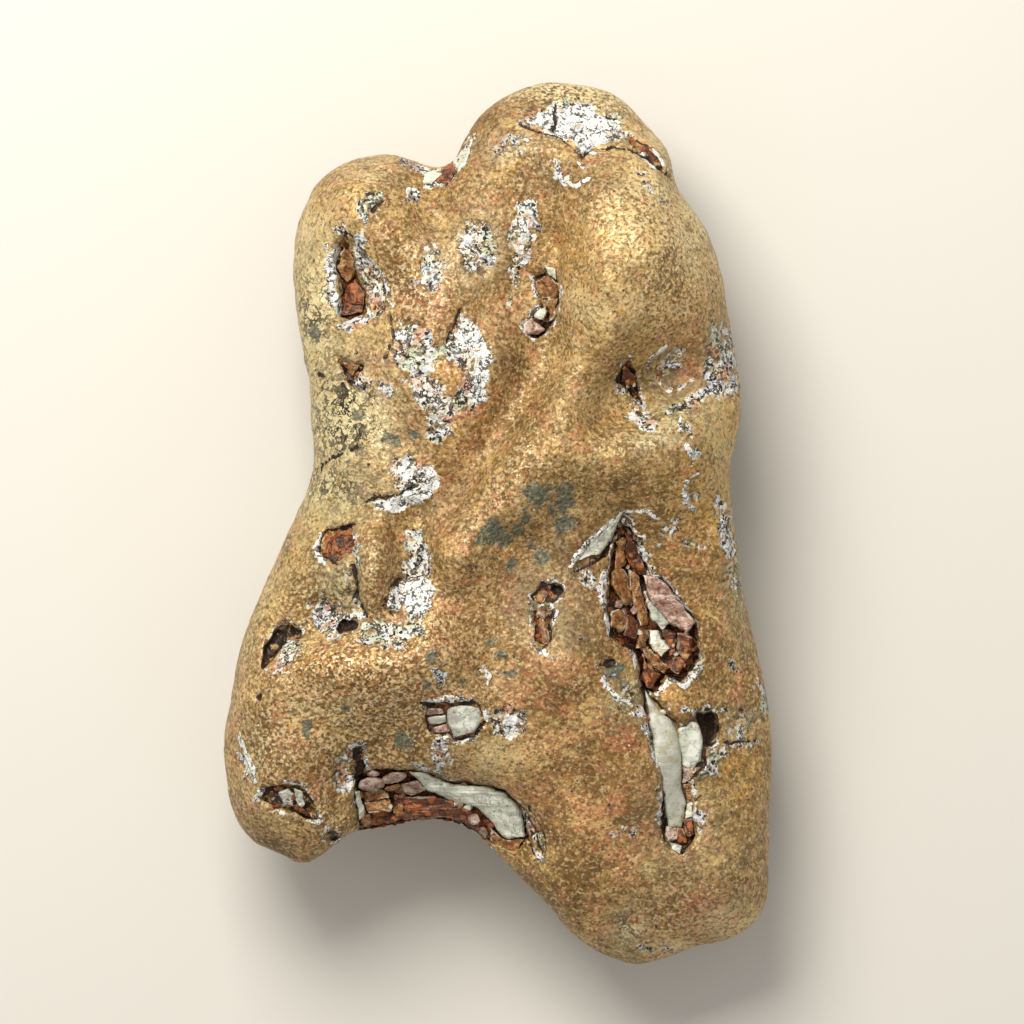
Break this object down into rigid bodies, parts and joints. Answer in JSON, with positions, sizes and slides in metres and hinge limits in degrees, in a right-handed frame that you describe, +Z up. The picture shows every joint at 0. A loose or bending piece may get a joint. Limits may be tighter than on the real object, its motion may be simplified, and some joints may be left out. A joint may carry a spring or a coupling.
{
  "type": "domeykite specimen",
  "caption": "Water-worn nugget of tarnished domeykite with quartz crusts and iron-stained pits, lying on a flat worn patch.",
  "frame": {"origin": "middle of the length and width, on the ground it lies on", "axes": "+Y along the length towards the top lobe, +X towards the right lobe, +Z up out of the lobed face"},
  "size_m": [0.0548, 0.0886, 0.0292],
  "materials": {
    "tarnished_domeykite": "water-worn arsenide ore with a satin bronze tarnish, fine grain and darker pores"
  },
  "bodies": {
    "root": {"nugget": "tarnished_domeykite"}
  },
  "joints": []
}
